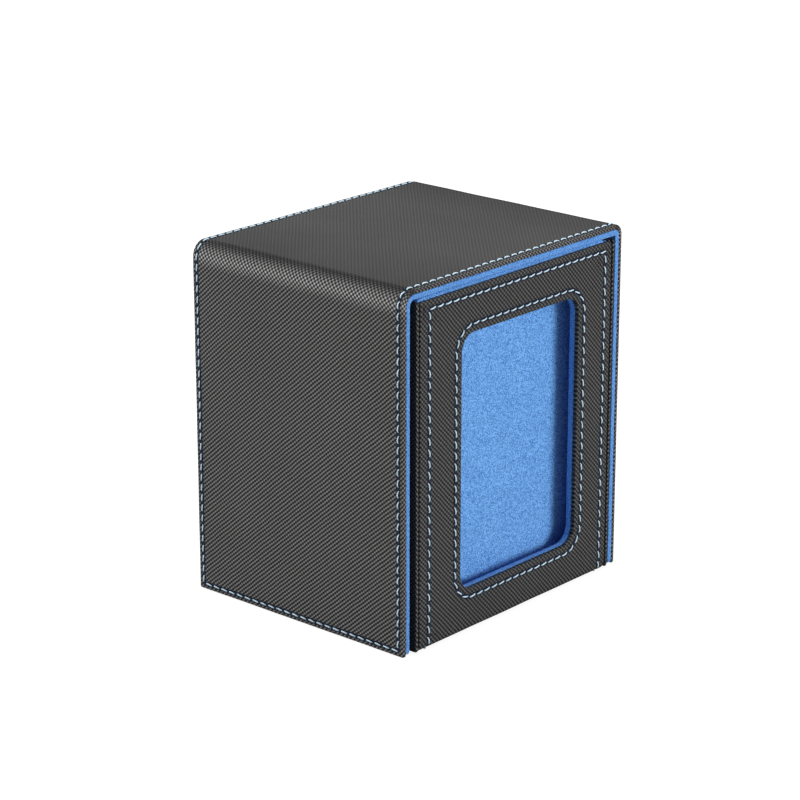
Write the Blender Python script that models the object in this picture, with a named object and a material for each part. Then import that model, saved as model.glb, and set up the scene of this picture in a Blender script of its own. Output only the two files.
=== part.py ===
"""Card storage box with a lift-off shell and a display window.

The box is two folded leather strips, one over the other. The core stands on the
table: its leather runs down the front, under the floor and up the back, and two
leather side walls close it. The shell is an upside-down U that slides down over
the core from above and leaves its front and back open. Blue wrapped boards line
both, and a blue wall behind the window makes a slot for one card on show.

X runs along the front to the right, the front faces -Y, and Z is up. The origin
is on the table, under the middle of the box.
"""

import math

import bmesh
import bpy
from mathutils import Matrix, Vector

MM = 0.001

# Shell
SHELL_WIDTH = 105.0 * MM
SHELL_DEPTH = 86.0 * MM
SHELL_HEIGHT = 115.0 * MM
SHELL_FOLD_RADIUS = 5.0 * MM
SHELL_CORNER_RADIUS = 1.3 * MM
SHELL_COVER = 1.6 * MM
SHELL_SKIN = 0.6 * MM
SHELL_LINING = 2.0 * MM
SHELL_LINING_RAISE = 1.3 * MM
SHELL_LINING_INSET = 0.2 * MM

# Core
CORE_PROUD = 2.0 * MM
CORE_SIDE_CLEARANCE = 1.2 * MM
CORE_TOP_CLEARANCE = 0.3 * MM
CORE_FOLD_RADIUS = 2.8 * MM
CORE_CORNER_RADIUS = 1.1 * MM
CORE_COVER = 1.6 * MM
CORE_SKIN = 0.6 * MM
CORE_LINING = 2.1 * MM
CORE_COVER_DROP = 0.35 * MM

# Side walls of the core
SIDE_COVER = 1.9 * MM
SIDE_SKIN = 0.8 * MM
SIDE_LIP = 1.25 * MM
SIDE_SETBACK = 0.4 * MM
SIDE_RAISE = 0.4 * MM
SIDE_LINING = 1.6 * MM

# Window and the card slot behind it
FRAME_SIDE = 17.75 * MM
FRAME_TOP = 14.25 * MM
FRAME_BOTTOM = 14.9 * MM
WINDOW_RADIUS = 5.5 * MM
SLOT_DEPTH = 4.5 * MM
INNER_WALL = 2.7 * MM
INNER_WALL_DROP = 6.0 * MM

# Magnets
MAGNET_DIAMETER = 8.0 * MM
MAGNET_THICKNESS = 0.8 * MM
MAGNET_HEIGHT = 24.0 * MM
MAGNET_INSET = 15.0 * MM

# Making
SEAM = 0.3 * MM
HEM = 1.5 * MM
LEATHER_ROUND = 0.5 * MM
FABRIC_ROUND = 0.6 * MM
ROUND_SHARE = 0.4
CUT_OVERRUN = 1.0 * MM
FOLD_STEPS = 10
CORNER_STEPS = 8
ROUND_STEPS = 3
MAGNET_SIDES = 28
SHARP_ANGLE = math.radians(40)

# Places that follow from the sizes
SHELL_HALF = SHELL_WIDTH / 2
SHELL_INNER_HALF = SHELL_HALF - SHELL_COVER - SEAM - SHELL_LINING
SHELL_INNER_TOP = SHELL_HEIGHT - SHELL_COVER - SEAM - SHELL_LINING
CORE_HALF = SHELL_INNER_HALF - CORE_SIDE_CLEARANCE
CORE_DEPTH = SHELL_DEPTH + 2 * CORE_PROUD
CORE_FACE = CORE_DEPTH / 2
CORE_TOP = SHELL_INNER_TOP - CORE_TOP_CLEARANCE
COVER_TOP = CORE_TOP - CORE_COVER_DROP
COVER_HALF = CORE_HALF - SIDE_LIP - SEAM
WALL_FACE = CORE_FACE - CORE_COVER - SEAM
WALL_BASE = CORE_COVER + SEAM
FLOOR_TOP = WALL_BASE + CORE_LINING
LINING_HALF = CORE_HALF - SIDE_COVER - SEAM - SIDE_LINING - SEAM
WINDOW_WIDTH = 2 * (COVER_HALF - FRAME_SIDE)
WINDOW_HEIGHT = COVER_TOP - FRAME_TOP - FRAME_BOTTOM
WINDOW_MIDDLE = FRAME_BOTTOM + WINDOW_HEIGHT / 2
SLOT_FRONT = -WALL_FACE + CORE_LINING
MAGNET_REACH = SHELL_DEPTH / 2 - MAGNET_INSET


def sides():
    """The two sides of the box, each with its sign along X."""
    return ("left", -1), ("right", 1)


def plane(axis):
    """Where the two flat directions of an outline go, and the direction it is carried in."""
    return {"X": (1, 2, 0), "Y": (0, 2, 1), "Z": (0, 1, 2)}[axis]


def clear_scene():
    """Remove whatever the scene holds."""
    for thing in list(bpy.data.objects):
        bpy.data.objects.remove(thing)


def finish(name, colour, roughness, metallic=0.0):
    """Make a plain material of one colour."""
    material = bpy.data.materials.new(name)
    material.use_nodes = True
    shader = material.node_tree.nodes["Principled BSDF"]
    shader.inputs["Base Color"].default_value = (*colour, 1.0)
    shader.inputs["Roughness"].default_value = roughness
    shader.inputs["Metallic"].default_value = metallic
    return material


def arc(centre, radius, start, end, steps):
    """Points of an arc, both ends included; angles in radians from the first axis."""
    points = []
    for step in range(steps + 1):
        angle = start + (end - start) * step / steps
        points.append((centre[0] + radius * math.cos(angle), centre[1] + radius * math.sin(angle)))
    return points


def rounded_rectangle(width, height, radius):
    """Outline of a rectangle with round corners about the origin."""
    radius = min(radius, ROUND_SHARE * width, ROUND_SHARE * height)
    points = []
    for turn, (across, up) in enumerate(((1, 1), (-1, 1), (-1, -1), (1, -1))):
        centre = (across * (width / 2 - radius), up * (height / 2 - radius))
        start = turn * math.pi / 2
        points += arc(centre, radius, start, start + math.pi / 2, CORNER_STEPS)
    return points


def fold_inner_radius(radius, thickness):
    """Inside radius of a strip of this thickness that is folded to an outer radius."""
    return max(radius - thickness, SEAM)


def folded_outline(half_span, rise, radius, thickness):
    """Outline of a strip folded into a U that is open at the bottom."""
    inner = fold_inner_radius(radius, thickness)
    quarter = math.pi / 2
    outside = half_span - radius
    inside = half_span - thickness - inner
    points = [(-half_span, 0.0)]
    points += arc((-outside, rise - radius), radius, 2 * quarter, quarter, FOLD_STEPS)
    points += arc((outside, rise - radius), radius, quarter, 0.0, FOLD_STEPS)
    points += [(half_span, 0.0), (half_span - thickness, 0.0)]
    points += arc((inside, rise - thickness - inner), inner, 0.0, quarter, FOLD_STEPS)
    points += arc((-inside, rise - thickness - inner), inner, quarter, 2 * quarter, FOLD_STEPS)
    points += [(thickness - half_span, 0.0)]
    return points


def prism(outline, axis, start, end):
    """Carry a flat outline straight along an axis; the outline lies in the other two."""
    across, up, along = plane(axis)
    shape = bmesh.new()
    loop = []
    for first, second in outline:
        place = Vector((0.0, 0.0, 0.0))
        place[across], place[up], place[along] = first, second, start
        loop.append(shape.verts.new(place))
    face = shape.faces.new(loop)
    swept = bmesh.ops.extrude_face_region(shape, geom=[face])["geom"]
    travel = Vector((0.0, 0.0, 0.0))
    travel[along] = end - start
    far_side = [part for part in swept if isinstance(part, bmesh.types.BMVert)]
    bmesh.ops.translate(shape, vec=travel, verts=far_side)
    bmesh.ops.recalc_face_normals(shape, faces=shape.faces)
    return shape


def block(low, high):
    """A box between two corners, about its own middle; returns the mesh and the middle."""
    size = Vector(high) - Vector(low)
    shape = bmesh.new()
    bmesh.ops.create_cube(shape, size=1.0)
    bmesh.ops.scale(shape, vec=size, verts=shape.verts)
    return shape, (Vector(low) + Vector(high)) / 2


def disc(thickness, clearance=0.0):
    """A round disc about its own middle, standing in a side wall with its axis along X."""
    shape = bmesh.new()
    radius = MAGNET_DIAMETER / 2 + clearance
    bmesh.ops.create_cone(shape, cap_ends=True, segments=MAGNET_SIDES, radius1=radius, radius2=radius,
                          depth=thickness, matrix=Matrix.Rotation(math.pi / 2, 4, "Y"))
    return shape


def round_corners(shape, axis, radius, level):
    """Round the four corners of a strip's free ends, which lie at one height."""
    along = plane(axis)[2]
    corners = []
    for edge in shape.edges:
        low, high = (vertex.co for vertex in edge.verts)
        if abs(low.z - level) < SEAM and abs(high.z - level) < SEAM and abs(low[along] - high[along]) < SEAM:
            corners.append(edge)
    bmesh.ops.bevel(shape, geom=corners, offset=radius, segments=CORNER_STEPS // 2, profile=0.5,
                    affect="EDGES", clamp_overlap=True)


def round_lips(shape, radius, wall_face):
    """Round a side cover all round its top and bottom, and down the ends of its lips."""
    chosen = []
    for edge in shape.edges:
        low, high = (vertex.co for vertex in edge.verts)
        upright = abs(low.z - high.z) > SEAM
        if not upright or abs(low.y) > wall_face + SEAM:
            chosen.append(edge)
    bmesh.ops.bevel(shape, geom=chosen, offset=radius, segments=ROUND_STEPS, profile=0.5,
                    affect="EDGES", clamp_overlap=True)


def make(name, shape, material, parent=None, location=(0.0, 0.0, 0.0)):
    """Turn a shape into a named object in the scene."""
    mesh = bpy.data.meshes.new(name)
    shape.to_mesh(mesh)
    shape.free()
    mesh.shade_smooth()
    mesh.set_sharp_from_angle(angle=SHARP_ANGLE)
    thing = bpy.data.objects.new(name, mesh)
    bpy.context.collection.objects.link(thing)
    thing.location = location
    thing.parent = parent
    if material:
        mesh.materials.append(material)
    return thing


def cutter(name, shape, location=(0.0, 0.0, 0.0)):
    """Make an object that only cuts others."""
    thing = make(name, shape, None, location=location)
    thing.hide_render = True
    thing.display_type = "WIRE"
    return thing


def cut(thing, tool):
    """Take a cutter's volume out of an object."""
    modifier = thing.modifiers.new(tool.name, "BOOLEAN")
    modifier.operation = "DIFFERENCE"
    modifier.solver = "EXACT"
    modifier.object = tool


def round_edges(thing, radius, thickness):
    """Round the sharp edges of a wrapped piece, within what its thickness allows."""
    modifier = thing.modifiers.new("rounded edges", "BEVEL")
    modifier.width = min(radius, ROUND_SHARE * thickness)
    modifier.segments = ROUND_STEPS
    modifier.limit_method = "ANGLE"
    modifier.angle_limit = SHARP_ANGLE


def wrapped_board(name, low, high, material, parent):
    """A flat board wrapped in fabric, with soft edges."""
    shape, middle = block(low, high)
    board = make(name, shape, material, parent, middle)
    round_edges(board, FABRIC_ROUND, min(Vector(high) - Vector(low)))
    return board


def pocketed_board(name, cover, low, high, inward, depth, material, parent):
    """Cut a pocket into a leather cover's inner side and lay a stiff board in it.

    low and high bound the pocket, and inward names the axis and the sign of the
    side that it opens to. depth is how deep the pocket goes into the cover.
    """
    axis, sign = inward
    pocket_low, pocket_high = list(low), list(high)
    board_low = [value + SEAM for value in low]
    board_high = [value - SEAM for value in high]
    if sign > 0:
        pocket_high[axis] = high[axis] + CUT_OVERRUN
        board_low[axis] = high[axis] - depth + SEAM
        board_high[axis] = high[axis]
    else:
        pocket_low[axis] = low[axis] - CUT_OVERRUN
        board_low[axis] = low[axis]
        board_high[axis] = low[axis] + depth - SEAM
    cut(cover, cutter(name + "_pocket", *block(pocket_low, pocket_high)))
    shape, middle = block(board_low, board_high)
    return make(name, shape, material, parent, middle)


def window_prism(name, margin, front, back):
    """A cutter as large as the window plus a margin all round."""
    outline = rounded_rectangle(WINDOW_WIDTH + 2 * margin, WINDOW_HEIGHT + 2 * margin,
                                WINDOW_RADIUS + margin)
    return cutter(name, prism(outline, "Y", front, back), (0.0, 0.0, WINDOW_MIDDLE))


def shell_cover(leather, board, parent):
    """The folded leather of the shell and the three boards inside it."""
    outline = folded_outline(SHELL_HALF, SHELL_HEIGHT, SHELL_FOLD_RADIUS, SHELL_COVER)
    shape = prism(outline, "Y", -SHELL_DEPTH / 2, SHELL_DEPTH / 2)
    round_corners(shape, "Y", SHELL_CORNER_RADIUS, 0.0)
    cover = make("shell_cover", shape, leather, parent)
    round_edges(cover, LEATHER_ROUND, SHELL_COVER)
    reach = SHELL_DEPTH / 2 - HEM
    depth = SHELL_COVER - SHELL_SKIN
    fold = max(SHELL_FOLD_RADIUS, SHELL_COVER + HEM)
    for side, sign in sides():
        walls = sorted((sign * (SHELL_HALF - SHELL_SKIN), sign * (SHELL_HALF - SHELL_COVER)))
        pocketed_board("shell_board_" + side, cover, (walls[0], -reach, HEM),
                       (walls[1], reach, SHELL_HEIGHT - fold), (0, -sign), depth, board, parent)
    span = SHELL_HALF - fold
    pocketed_board("shell_board_top", cover, (-span, -reach, SHELL_HEIGHT - SHELL_COVER),
                   (span, reach, SHELL_HEIGHT - SHELL_SKIN), (2, -1), depth, board, parent)


def side_lining_outline(sign):
    """Outline of a side lining of the shell, whose top follows the leather's inner fold."""
    outer = SHELL_HALF - SHELL_COVER - SEAM
    inner = outer - SHELL_LINING
    top = SHELL_HEIGHT - SHELL_COVER - SEAM
    radius = max(fold_inner_radius(SHELL_FOLD_RADIUS, SHELL_COVER) - SEAM, SEAM)
    centre = (outer - radius, top - radius)
    overlap = max(inner - centre[0], 0.0)
    points = [(inner, SHELL_LINING_RAISE), (outer, SHELL_LINING_RAISE)]
    points += arc(centre, radius, 0.0, math.acos(overlap / radius), FOLD_STEPS // 2)
    if inner < centre[0]:
        points.append((inner, top))
    return [(sign * across, up) for across, up in points]


def shell_linings(fabric, metal, parent):
    """The blue boards inside the shell, and the magnets sunk in the two at the sides."""
    reach = SHELL_DEPTH / 2 - SHELL_LINING_INSET
    outer = SHELL_HALF - SHELL_COVER - SEAM
    pocket = MAGNET_THICKNESS + SEAM
    for side, sign in sides():
        shape = prism(side_lining_outline(sign), "Y", -reach, reach)
        lining = make("shell_lining_" + side, shape, fabric, parent)
        round_edges(lining, FABRIC_ROUND, SHELL_LINING)
        magnets("shell", side, sign, outer, lining, outer + CUT_OVERRUN, pocket + CUT_OVERRUN, metal, parent)
    half = SHELL_INNER_HALF - SEAM
    wrapped_board("shell_lining_top", (-half, -reach, SHELL_INNER_TOP),
                  (half, reach, SHELL_INNER_TOP + SHELL_LINING), fabric, parent)


def magnets(body, side, sign, face, host, hole_face, hole_depth, metal, parent):
    """Cut a hole for each magnet of one side wall into its host and lay the disc in it.

    face is the outer face of the discs, and hole_face is where the holes begin.
    """
    for end, reach in (("front", -MAGNET_REACH), ("back", MAGNET_REACH)):
        name = "_".join((body, "magnet", side, end))
        hole_place = (sign * (hole_face - hole_depth / 2), reach, MAGNET_HEIGHT)
        cut(host, cutter(name + "_hole", disc(hole_depth, SEAM), hole_place))
        place = (sign * (face - MAGNET_THICKNESS / 2), reach, MAGNET_HEIGHT)
        make(name, disc(MAGNET_THICKNESS), metal, parent, place)


def core_cover(leather, board, parent):
    """The folded leather of the core with its window, and the three boards inside it."""
    strip = folded_outline(CORE_FACE, COVER_TOP, CORE_FOLD_RADIUS, CORE_COVER)
    outline = [(across, COVER_TOP - up) for across, up in strip]
    shape = prism(outline, "X", -COVER_HALF, COVER_HALF)
    round_corners(shape, "X", CORE_CORNER_RADIUS, COVER_TOP)
    cover = make("core_cover", shape, leather, parent)
    cut(cover, window_prism("window_opening", 0.0, -CORE_FACE - CUT_OVERRUN, SLOT_FRONT))
    round_edges(cover, LEATHER_ROUND, CORE_COVER)
    half = COVER_HALF - HEM
    depth = CORE_COVER - CORE_SKIN
    fold = max(CORE_FOLD_RADIUS, CORE_COVER + HEM)
    outer = CORE_FACE - CORE_SKIN
    inner = CORE_FACE - CORE_COVER
    front = pocketed_board("front_board", cover, (-half, -outer, fold), (half, -inner, COVER_TOP - HEM),
                           (1, 1), depth, board, parent)
    island = window_prism("window_hem", HEM, -outer - CUT_OVERRUN, SLOT_FRONT)
    cut(bpy.data.objects["front_board_pocket"], island)
    cut(front, window_prism("front_board_window", HEM + SEAM, -outer - CUT_OVERRUN, SLOT_FRONT))
    pocketed_board("back_board", cover, (-half, inner, fold), (half, outer, COVER_TOP - HEM),
                   (1, -1), depth, board, parent)
    reach = CORE_FACE - fold
    pocketed_board("bottom_board", cover, (-half, -reach, CORE_SKIN), (half, reach, CORE_COVER),
                   (2, 1), depth, board, parent)


def side_walls(leather, board, fabric, metal, parent):
    """The two side walls of the core: leather cover, board, magnets and lining.

    Seen from above, each cover has a lip at either end that comes forward beside
    the folded leather, and a thicker middle that stands between front and back.
    """
    lip_reach = CORE_FACE - SIDE_SETBACK
    lip_face = CORE_HALF - SIDE_LIP
    inner_face = CORE_HALF - SIDE_COVER
    outline = [(CORE_HALF, -lip_reach), (CORE_HALF, lip_reach), (lip_face, lip_reach),
               (lip_face, WALL_FACE), (inner_face, WALL_FACE), (inner_face, -WALL_FACE),
               (lip_face, -WALL_FACE), (lip_face, -lip_reach)]
    for side, sign in sides():
        shape = prism([(sign * across, along) for across, along in outline], "Z", SIDE_RAISE, CORE_TOP)
        round_lips(shape, min(LEATHER_ROUND, ROUND_SHARE * SIDE_LIP), WALL_FACE)
        cover = make("side_cover_" + side, shape, leather, parent)
        step = sorted((sign * lip_face, sign * (inner_face - CUT_OVERRUN)))
        cut(cover, cutter("side_foot_" + side, *block((step[0], -CORE_FACE, SIDE_RAISE - CUT_OVERRUN),
                                                      (step[1], CORE_FACE, WALL_BASE))))
        walls = sorted((sign * inner_face, sign * (CORE_HALF - SIDE_SKIN)))
        plate = pocketed_board("side_board_" + side, cover, (walls[0], HEM - WALL_FACE, WALL_BASE + HEM),
                               (walls[1], WALL_FACE - HEM, CORE_TOP - HEM), (0, -sign),
                               SIDE_COVER - SIDE_SKIN, board, parent)
        outer = CORE_HALF - SIDE_SKIN - SEAM
        magnets("core", side, sign, outer, plate, outer + CUT_OVERRUN,
                SIDE_COVER - SIDE_SKIN + 2 * CUT_OVERRUN, metal, parent)
        faces = sorted((sign * (inner_face - SEAM), sign * (inner_face - SEAM - SIDE_LINING)))
        wrapped_board("side_lining_" + side, (faces[0], -WALL_FACE, WALL_BASE),
                      (faces[1], WALL_FACE, CORE_TOP), fabric, parent)


def core_linings(fabric, parent):
    """The blue floor, back, window board and the inner wall behind the card slot."""
    half = LINING_HALF
    base = FLOOR_TOP + SEAM
    wrapped_board("floor_lining", (-half, -WALL_FACE, WALL_BASE), (half, WALL_FACE, FLOOR_TOP), fabric, parent)
    wrapped_board("back_lining", (-half, WALL_FACE - CORE_LINING, base), (half, WALL_FACE, CORE_TOP),
                  fabric, parent)
    low, high = (-half, -WALL_FACE, base), (half, SLOT_FRONT, CORE_TOP)
    shape, middle = block(low, high)
    window = make("window_lining", shape, fabric, parent, middle)
    cut(window, window_prism("window_lining_opening", 0.0, -CORE_FACE, SLOT_FRONT + CUT_OVERRUN))
    round_edges(window, FABRIC_ROUND, CORE_LINING)
    front = SLOT_FRONT + SLOT_DEPTH
    wrapped_board("inner_wall", (-half, front, base), (half, front + INNER_WALL, CORE_TOP - INNER_WALL_DROP),
                  fabric, parent)


def group(name):
    """An empty that carries the pieces of one body and stands on its slide axis."""
    empty = bpy.data.objects.new(name, None)
    bpy.context.collection.objects.link(empty)
    return empty


def main():
    """Build the whole box."""
    clear_scene()
    leather = finish("embossed leather", (0.045, 0.043, 0.042), 0.55)
    board = finish("grey board", (0.28, 0.26, 0.23), 0.9)
    fabric = finish("blue microfibre", (0.09, 0.28, 0.70), 0.95)
    metal = finish("nickel plate", (0.62, 0.60, 0.56), 0.3, 1.0)
    shell = group("shell")
    core = group("core")
    shell_cover(leather, board, shell)
    shell_linings(fabric, metal, shell)
    core_cover(leather, board, core)
    side_walls(leather, board, fabric, metal, core)
    core_linings(fabric, core)


main()
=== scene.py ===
"""Looks of the card storage box.

Embossed leather sheets sewn over board, a blue microfibre lining, sky blue thread,
and the light and camera of the photograph. X runs along the front to the right, the
front faces -Y and Z is up. Lengths are in millimetres until a mesh is made.
"""

import logging
import math
from dataclasses import dataclass, field
from enum import Enum
from typing import Callable

import bmesh
import bpy
import numpy as np
from mathutils import Matrix, Vector


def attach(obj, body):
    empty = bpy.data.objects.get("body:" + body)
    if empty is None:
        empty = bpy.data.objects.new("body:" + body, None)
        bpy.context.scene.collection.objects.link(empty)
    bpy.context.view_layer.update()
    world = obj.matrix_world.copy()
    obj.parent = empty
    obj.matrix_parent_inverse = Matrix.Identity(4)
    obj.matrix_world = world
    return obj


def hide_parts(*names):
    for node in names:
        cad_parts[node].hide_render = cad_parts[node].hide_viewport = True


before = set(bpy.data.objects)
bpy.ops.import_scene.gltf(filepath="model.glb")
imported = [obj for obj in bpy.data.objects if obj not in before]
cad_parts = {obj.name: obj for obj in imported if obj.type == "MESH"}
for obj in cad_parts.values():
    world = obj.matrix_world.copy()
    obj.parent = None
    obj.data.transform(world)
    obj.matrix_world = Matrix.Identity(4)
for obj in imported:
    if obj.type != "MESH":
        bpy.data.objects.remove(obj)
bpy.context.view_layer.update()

MM = 0.001
MERGE = 0.002
SHARP = math.radians(50)
QUARTER = math.pi / 2
LAP = 2 * math.pi
Triple = tuple[float, float, float]
Colour = Triple
Array = np.ndarray
Socket = bpy.types.NodeSocket
Field = Callable[[Array, Array], Array]

log = logging.getLogger("card_box")


class Body(Enum):
    """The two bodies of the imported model."""

    CORE = "core"
    SHELL = "shell"


class Slot(Enum):
    """The record's material slots that the dressed pieces use."""

    LEATHER = "leather"
    MICROFIBRE = "microfibre"


class Turn(Enum):
    """Which way a sheet is folded into a U."""

    OVER = 1
    UNDER = -1


# Meshes


@dataclass(frozen=True)
class Patch:
    """A batch of grids that make one closed surface each.

    places is batch x rows x columns x 3 in millimetres, sheet is batch x rows x
    columns x 2, the place on the flat sheet, and marks holds a number per vertex.
    """

    places: Array
    sheet: Array
    marks: dict[str, Array] = field(default_factory=dict)

    def quads(self, first: int) -> Array:
        """Corner indices of every quad, turned so that the closed surface faces outwards.

        The signed volume is a sixth of the sum over triangles of the product of one
        corner with the cross product of the other two, and a negative one is turned.

        Args:
            first: index of the first vertex.

        Returns:
            An array of quads x 4.
        """
        batch, rows, columns = self.places.shape[:3]
        index = np.arange(batch * rows * columns).reshape(batch, rows, columns)
        corners = (index[:, :-1, :-1], index[:, 1:, :-1], index[:, 1:, 1:], index[:, :-1, 1:])
        faces = np.stack(corners, axis=-1).reshape(-1, 4)
        flat = self.places.reshape(-1, 3)
        a, b, c, d = (flat[faces[:, corner]] for corner in range(4))
        volume = np.sum(a * np.cross(b, c)) + np.sum(a * np.cross(c, d))
        if volume < 0:
            faces = faces[:, ::-1]
        return faces + first


def link(name: str, data: bpy.types.ID) -> bpy.types.Object:
    """Put a mesh, lamp or camera in the scene, at the origin."""
    thing = bpy.data.objects.new(name, data)
    bpy.context.collection.objects.link(thing)
    return thing


def build(name: str, patches: list[Patch]) -> bpy.types.Object:
    """Put patches into one mesh object, with its sheet coordinates and marks.

    Args:
        name: the object's name.
        patches: the closed grids it is made of.

    Returns:
        The new object, at the origin.
    """
    vertices = np.concatenate([patch.places.reshape(-1, 3) for patch in patches])
    sheet = np.concatenate([patch.sheet.reshape(-1, 2) for patch in patches])
    starts = np.cumsum([0] + [patch.places.size // 3 for patch in patches])
    faces = np.concatenate([patch.quads(int(start)) for patch, start in zip(patches, starts)])
    mesh = bpy.data.meshes.new(name)
    mesh.from_pydata((vertices * MM).tolist(), [], faces.tolist())
    layer = mesh.uv_layers.new(name="sheet")
    layer.data.foreach_set("uv", sheet[faces.reshape(-1)].reshape(-1).astype(np.float32))
    for mark in sorted({key for patch in patches for key in patch.marks}):
        values = [patch.marks.get(mark, np.zeros(patch.places.shape[:3])).reshape(-1)
                  for patch in patches]
        attribute = mesh.attributes.new(mark, "FLOAT", "POINT")
        attribute.data.foreach_set("value", np.concatenate(values).astype(np.float32))
    shape = bmesh.new()
    shape.from_mesh(mesh)
    bmesh.ops.remove_doubles(shape, verts=shape.verts, dist=MERGE * MM)
    shape.to_mesh(mesh)
    shape.free()
    mesh.shade_smooth()
    mesh.set_sharp_from_angle(angle=SHARP)
    return link(name, mesh)


# Where a flat sheet goes in space


@dataclass(frozen=True)
class FoldedLay:
    """A sheet folded into a U about its length.

    It starts at one free end, runs straight to the first fold, round it, straight
    over, round the second fold, and straight to the other free end. radii are those
    of the two folds, taper thickens the sheet towards its second leg, and aside moves
    it across.
    """

    half: float
    rise: float
    radii: tuple[float, float]
    turn: Turn
    level: float = 0.0
    taper: float = 0.0
    aside: float = 0.0

    def stops(self) -> tuple[float, float, float, float]:
        """Distances along the face at which the first fold starts and ends, and the second."""
        start = self.rise - self.radii[0]
        end = start + QUARTER * self.radii[0]
        far = end + 2 * self.half - sum(self.radii)
        return start, end, far, far + QUARTER * self.radii[1]

    def length(self) -> float:
        """Length of the face from free end to free end."""
        return self.stops()[3] + self.rise - self.radii[1]

    def place(self, across: Array, along: Array, depth: Array) -> Array:
        """Place of a point of the sheet.

        Each leg and each fold takes its share of the distance along the face, the
        heading is the sum of both folds' angles, and depth goes against the normal.

        Args:
            across: distance across the sheet from its middle line.
            along: distance along the face from the first free end.
            depth: distance below the face.

        Returns:
            Places with a last axis of three.
        """
        near, away = self.radii
        start, end, far, last = self.stops()
        first = np.clip((along - start) / near, 0.0, QUARTER)
        second = np.clip((along - far) / away, 0.0, QUARTER)
        over = np.clip(along - end, 0.0, far - end)
        tail = np.maximum(along - last, 0.0)
        heading = first + second
        side = near * (1 - np.cos(first)) + over + away * np.sin(second) - self.half
        height = (np.minimum(along, start) + near * np.sin(first)
                  + away * (np.cos(second) - 1) - tail)
        depth = depth * (1 + self.taper * side / self.half)
        side = side + depth * np.cos(heading)
        height = height - depth * np.sin(heading)
        across = np.broadcast_to(across + self.aside, side.shape)
        if self.turn is Turn.OVER:
            return np.stack((side, across, self.level + height), axis=-1)
        return np.stack((across, side, self.level - height), axis=-1)


@dataclass(frozen=True)
class FlatLay:
    """A flat sheet: an origin, the directions across and along it, and its outward normal."""

    origin: Triple
    across: Triple
    along: Triple
    normal: Triple

    def place(self, across: Array, along: Array, depth: Array) -> Array:
        """Place of a point: origin plus distances along both directions, less depth along the normal."""
        across, along, depth = np.broadcast_arrays(across, along, depth)
        return (np.array(self.origin) + across[..., None] * np.array(self.across)
                + along[..., None] * np.array(self.along) - depth[..., None] * np.array(self.normal))


Lay = FoldedLay | FlatLay


# Outlines on the flat sheet


@dataclass(frozen=True)
class Outline:
    """A rectangle with round corners on the flat sheet, given by its lowest and highest corners.

    edge is the width over which the inside blends into the outside.
    """

    low: tuple[float, float]
    high: tuple[float, float]
    radius: float
    edge: float = 0.5

    def loop(self, sides: tuple[int, int], corner: int) -> tuple[Array, Array]:
        """Points round the outline and their outward normals.

        Each corner is a quarter circle about its centre, and each side runs straight
        to the next corner.

        Args:
            sides: number of steps on a level side and on an upright one.
            corner: number of points of a corner.

        Returns:
            Points x 2 of places, closed by the first, and points x 2 of normals.
        """
        places, normals = [], []
        centres = ((self.high[0] - self.radius, self.high[1] - self.radius),
                   (self.low[0] + self.radius, self.high[1] - self.radius),
                   (self.low[0] + self.radius, self.low[1] + self.radius),
                   (self.high[0] - self.radius, self.low[1] + self.radius))
        for turn, centre in enumerate(centres):
            angle = np.linspace(0.0, QUARTER, corner) + turn * QUARTER
            away = np.stack((np.cos(angle), np.sin(angle)), axis=-1)
            places.append(np.array(centre) + self.radius * away)
            normals.append(away)
            end = np.array(centre) + self.radius * away[-1]
            start = np.array(centres[(turn + 1) % 4]) + self.radius * away[-1]
            share = np.arange(1, sides[turn % 2])[:, None] / sides[turn % 2]
            places.append(end + (start - end) * share)
            normals.append(np.broadcast_to(away[-1], (len(share), 2)))
        places.append(places[0][:1])
        normals.append(normals[0][:1])
        return np.concatenate(places), np.concatenate(normals)

    def distance(self, across: Array, along: Array) -> Array:
        """Signed distance from the outline, below zero inside: that of a rectangle with round corners."""
        middle = [(low + high) / 2 for low, high in zip(self.low, self.high)]
        half = [(high - low) / 2 - self.radius for low, high in zip(self.low, self.high)]
        out_across = np.abs(across - middle[0]) - half[0]
        out_along = np.abs(along - middle[1]) - half[1]
        outside = np.hypot(np.maximum(out_across, 0.0), np.maximum(out_along, 0.0))
        return outside + np.minimum(np.maximum(out_across, out_along), 0.0) - self.radius

    def outside(self, across: Array, along: Array) -> Array:
        """0 inside and 1 outside, with a ramp of the edge's width across the outline."""
        return np.clip(self.distance(across, along) / self.edge + 0.5, 0.0, 1.0)


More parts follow.
